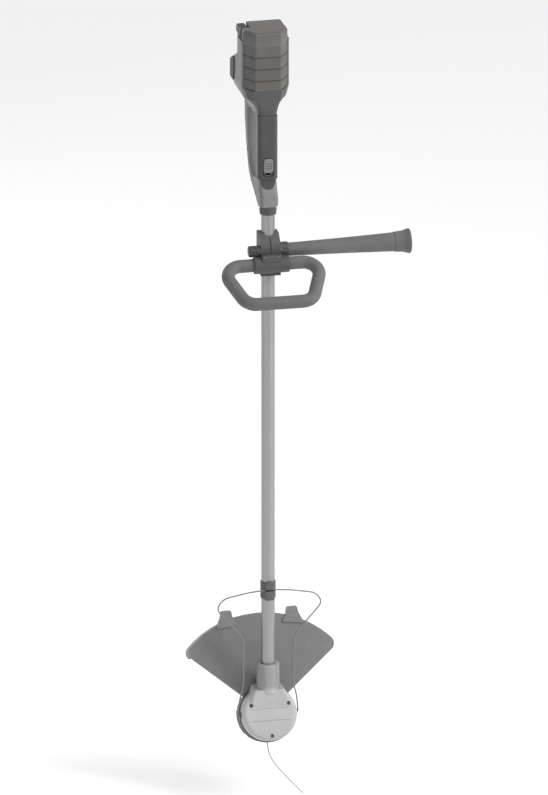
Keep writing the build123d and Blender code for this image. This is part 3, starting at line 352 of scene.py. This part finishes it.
def moulded_plastic(name, tone, rough=0.5, grain=0.35, wear=0.25, warm=0.0, dust=0.10, shade=None):
    """Injection moulded plastic: spark-eroded grain, faint flow marks, rubbed edges and a little dust."""
    material, tree, shader = new_material(name)
    place = place_coords(tree)
    flow = ramp(tree, noise(tree, place, 14, 3), grey(tone * 0.90, warm), grey(tone * 1.10, warm))
    speck = ramp(tree, noise(tree, place, 420, 2), grey(tone * 0.93, warm), grey(tone * 1.07, warm))
    colour = mix(tree, 0.5, flow, speck)
    dusty = ramp(tree, noise(tree, place, 46, 6, 0.7), (0, 0, 0), (dust, dust, dust), 0.5, 0.8)
    colour = mix(tree, dusty, colour, grey(min(tone * 1.6 + 0.12, 0.8), 0.02))
    if shade:
        colour = height_shade(tree, colour, *shade)
    colour = mix(tree, edge_wear(tree, wear), colour, grey(min(tone * 1.7 + 0.03, 0.85), warm))
    tree.links.new(colour, shader.inputs["Base Color"])
    shine = ramp(tree, noise(tree, place, 60, 5, 0.65), grey(rough - 0.07), grey(rough + 0.10))
    tree.links.new(shine, shader.inputs["Roughness"])
    fine = bump(tree, noise(tree, place, 1500, 2), grain, 0.00012, shader)
    bump(tree, noise(tree, place, 30, 2), 0.12, 0.0006, shader, fine)
    shader.inputs["Specular IOR Level"].default_value = 0.42
    return material


def soft_rubber(name, tone, grain_scale=950, depth=0.5, warm=0.0):
    """Soft overmoulding with a pebbled, leathery grain and dull sheen."""
    material, tree, shader = new_material(name)
    place = place_coords(tree)
    flow = ramp(tree, noise(tree, place, 18, 4), grey(tone * 0.86, warm), grey(tone * 1.14, warm))
    colour = mix(tree, edge_wear(tree, 0.2), flow, grey(tone * 1.8, warm))
    tree.links.new(colour, shader.inputs["Base Color"])
    cells = add_node(tree, "ShaderNodeTexVoronoi", Scale=float(grain_scale))
    cells.feature = "SMOOTH_F1"
    tree.links.new(place, cells.inputs["Vector"])
    bump(tree, cells.outputs["Distance"], depth, 0.0002, shader)
    shine = ramp(tree, noise(tree, place, 75, 4), grey(0.58), grey(0.76))
    tree.links.new(shine, shader.inputs["Roughness"])
    shader.inputs["Specular IOR Level"].default_value = 0.35
    shader.inputs["Sheen Weight"].default_value = 0.08
    shader.inputs["Sheen Roughness"].default_value = 0.5
    return material


def metal(name, tone, rough, stretch=(1, 1, 1), scale=300, metallic=1.0, warm=0.0, scratch=0.25):
    """Metal with drawn or turned streaks along the stretched axis."""
    material, tree, shader = new_material(name)
    place = place_coords(tree, stretch)
    streak = noise(tree, place, scale, 5, 0.6)
    colour = ramp(tree, streak, grey(tone * 0.9, warm), grey(tone * 1.08, warm))
    tree.links.new(colour, shader.inputs["Base Color"])
    tree.links.new(ramp(tree, streak, grey(rough - 0.06), grey(rough + 0.08)), shader.inputs["Roughness"])
    bump(tree, streak, scratch, 0.00005, shader)
    shader.inputs["Metallic"].default_value = metallic
    return material


def nylon_material():
    material, tree, shader = new_material("nylon")
    place = place_coords(tree)
    colour = ramp(tree, noise(tree, place, 120, 3), grey(0.30), grey(0.40))
    tree.links.new(colour, shader.inputs["Base Color"])
    bump(tree, noise(tree, place, 2200, 2), 0.2, 0.00006, shader)
    shader.inputs["Roughness"].default_value = 0.38
    shader.inputs["Subsurface Weight"].default_value = 0.15
    shader.inputs["Subsurface Radius"].default_value = (0.001, 0.001, 0.001)
    return material


def winding_material():
    """Enamelled wire laid side by side."""
    material, tree, shader = new_material("winding")
    place = place_coords(tree)
    wave = add_node(tree, "ShaderNodeTexWave", Scale=420.0, Distortion=0.4)
    tree.links.new(place, wave.inputs["Vector"])
    colour = ramp(tree, wave.outputs["Fac"], (0.20, 0.07, 0.02), (0.55, 0.22, 0.08))
    tree.links.new(colour, shader.inputs["Base Color"])
    bump(tree, wave.outputs["Fac"], 0.7, 0.0004, shader)
    shader.inputs["Metallic"].default_value = 0.7
    shader.inputs["Roughness"].default_value = 0.32
    return material


def board_material():
    material, tree, shader = new_material("board")
    place = place_coords(tree)
    tracks = add_node(tree, "ShaderNodeTexVoronoi", Scale=170.0)
    tracks.distance = "MANHATTAN"
    tree.links.new(place, tracks.inputs["Vector"])
    colour = ramp(tree, tracks.outputs["Distance"], (0.015, 0.05, 0.025), (0.03, 0.11, 0.05), 0.35, 0.42)
    tree.links.new(colour, shader.inputs["Base Color"])
    bump(tree, tracks.outputs["Distance"], 0.3, 0.0002, shader)
    shader.inputs["Roughness"].default_value = 0.3
    return material


DRAWN = (1, 1, 0.012)           # streaks along the tube
socket_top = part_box("motor_cover")[1].z
paint = {
    "dark": moulded_plastic("dark_plastic", 0.060, rough=0.52),
    "battery": moulded_plastic("battery_plastic", 0.070, rough=0.55, warm=0.03),
    "lid": moulded_plastic("lid_plastic", 0.092, rough=0.55, warm=0.03),
    "dock": moulded_plastic("dock_plastic", 0.061, rough=0.55, warm=0.02),
    "latch": moulded_plastic("latch_plastic", 0.036, rough=0.48),
    "clamp": moulded_plastic("clamp_plastic", 0.046, rough=0.52),
    "clip": moulded_plastic("clip_plastic", 0.080, rough=0.5),
    "mid": moulded_plastic("mid_plastic", 0.130, rough=0.5, warm=0.015),
    "guard": moulded_plastic("guard_plastic", 0.150, rough=0.46, grain=0.25, warm=0.015),
    "light": moulded_plastic("light_plastic", 0.150, rough=0.46),
    "cover": moulded_plastic("cover_plastic", 0.37, rough=0.42, grain=0.2, wear=0.15, dust=0.05,
                             shade=(socket_top - 0.060, socket_top - 0.042, 0.58)),
    "button": moulded_plastic("button_plastic", 0.155, rough=0.42),
    "grip": soft_rubber("soft_grip", 0.046),
    "loop": soft_rubber("loop_rubber", 0.104, grain_scale=800, warm=0.01),
    "rubber": soft_rubber("plain_rubber", 0.035, grain_scale=1300, depth=0.25),
    "tube": metal("tube_metal", 0.32, 0.34, DRAWN, 420, metallic=0.88),
    "steel": metal("plated_steel", 0.55, 0.30, (1, 1, 1), 500),
    "blade": metal("blade_steel", 0.60, 0.26, (1, 0.05, 1), 700),
    "black": metal("black_steel", 0.14, 0.42, (1, 1, 1), 300, metallic=0.6),
    "zinc": metal("zinc_steel", 0.24, 0.42, (1, 1, 1), 300, metallic=0.5),
    "wire": metal("coated_wire", 0.20, 0.40, (1, 1, 0.1), 600, metallic=0.55),
    "cell": metal("cell_wrap", 0.20, 0.35, (1, 1, 1), 200, metallic=0.0),
    "nylon": nylon_material(),
    "winding": winding_material(),
    "board": board_material(),
}
PAINTED = {
    "dark": ["head_drum", "head_cap", "lower_housing", "nose_collar", "terminal_block", "trigger_switch",
             "pivot_bosses"],
    "clamp": ["clamp_rear", "clamp_front", "bar_socket"],
    "clip": ["parking_clip"],
    "battery": ["battery_case"],
    "lid": ["battery_lid"],
    "dock": ["dock_front"],
    "latch": ["latch_left", "latch_right", "clamp_knob"],
    "mid": ["spool", "bump_knob", "trigger"],
    "guard": ["guard"],
    "button": ["lock_slider"],
    "light": ["handle_left", "handle_right"],
    "cover": ["motor_cover"],
    "grip": ["grip_cover"],
    "loop": ["loop_handle", "barrier_bar", "barrier_end_cap"],
    "rubber": ["bumper_strip", "rear_foot", "shaft_plug", "power_leads"],
    "tube": ["shaft_tube"],
    "steel": ["spindle", "motor_bearings", "stator_core", "rotor_core", "spindle_nut", "eyelets",
              "cutter_screws", "guard_screws", "trigger_pin", "trigger_spring", "bump_spring"],
    "blade": ["line_cutter"],
    "zinc": ["cover_screws"],
    "black": ["handle_screws", "clamp_screws", "clamp_bolt"],
    "wire": ["wire_guard"],
    "nylon": ["trimmer_line", "wound_line"],
    "winding": ["stator_windings", "battery_contacts"],
    "cell": ["battery_cells"],
    "board": ["control_board"],
}
for finish, names in PAINTED.items():
    for name in names:
        for material_slot in nodes[name].material_slots:
            material_slot.material = paint[finish]
# The sheet below the slider takes the dark plastic as painted shade.
for piece, finish in ((line, "nylon"), (tongue, "grip"), (shade_sheet, "dark"),
                      (bump_coil, "steel"), (trigger_coil, "steel")):
    piece.data.materials.append(paint[finish])

# ------------------------------------------------------------------ floor, light
FLOOR_DROP = 0.012              # the floor lies this far below the CAD model
FLOOR_HALF = 25                 # half of the floor's side
floor_z = cad_low.z - FLOOR_DROP

floor_mesh = bpy.data.meshes.new("floor")
corners = ((-1, -1), (1, -1), (1, 1), (-1, 1))
floor_mesh.from_pydata([(x * FLOOR_HALF, y * FLOOR_HALF, floor_z) for x, y in corners], [], [(0, 1, 2, 3)])
floor = add_object("floor", floor_mesh)
floor_material, _, floor_shader = new_material("floor")
floor_shader.inputs["Base Color"].default_value = (0.90, 0.90, 0.90, 1)
floor_shader.inputs["Roughness"].default_value = 0.9
floor_mesh.materials.append(floor_material)

world = bpy.data.worlds.new("studio")
world.use_nodes = True
world.node_tree.nodes["Background"].inputs["Color"].default_value = (1, 1, 1, 1)
world.node_tree.nodes["Background"].inputs["Strength"].default_value = 0.54
bpy.context.scene.world = world


def soft_light(name, place, aim, size, power):
    data = bpy.data.lights.new(name, "AREA")
    data.shape = "RECTANGLE"
    data.size, data.size_y = size
    data.energy = power
    lamp = add_object(name, data)
    lamp.matrix_world = Matrix.Translation(place) @ (place - aim).to_track_quat("Z", "Y").to_matrix().to_4x4()


middle = Vector((0, 0, 0.05))
soft_light("key", Vector((2.6, -1.6, 1.6)), middle, (0.8, 2.4), 75)
soft_light("fill", Vector((-2.6, -2.4, 0.8)), middle, (1.6, 2.4), 16)
soft_light("back", Vector((-1.2, 3.0, 1.4)), middle, (1.2, 2.2), 30)

sun_data = bpy.data.lights.new("overhead", "SUN")
sun_data.energy = 1.5
sun_data.angle = radians(70)
sun = add_object("overhead", sun_data)
sun.matrix_world = Vector((0.55, -0.35, 1.0)).to_track_quat("Z", "Y").to_matrix().to_4x4()
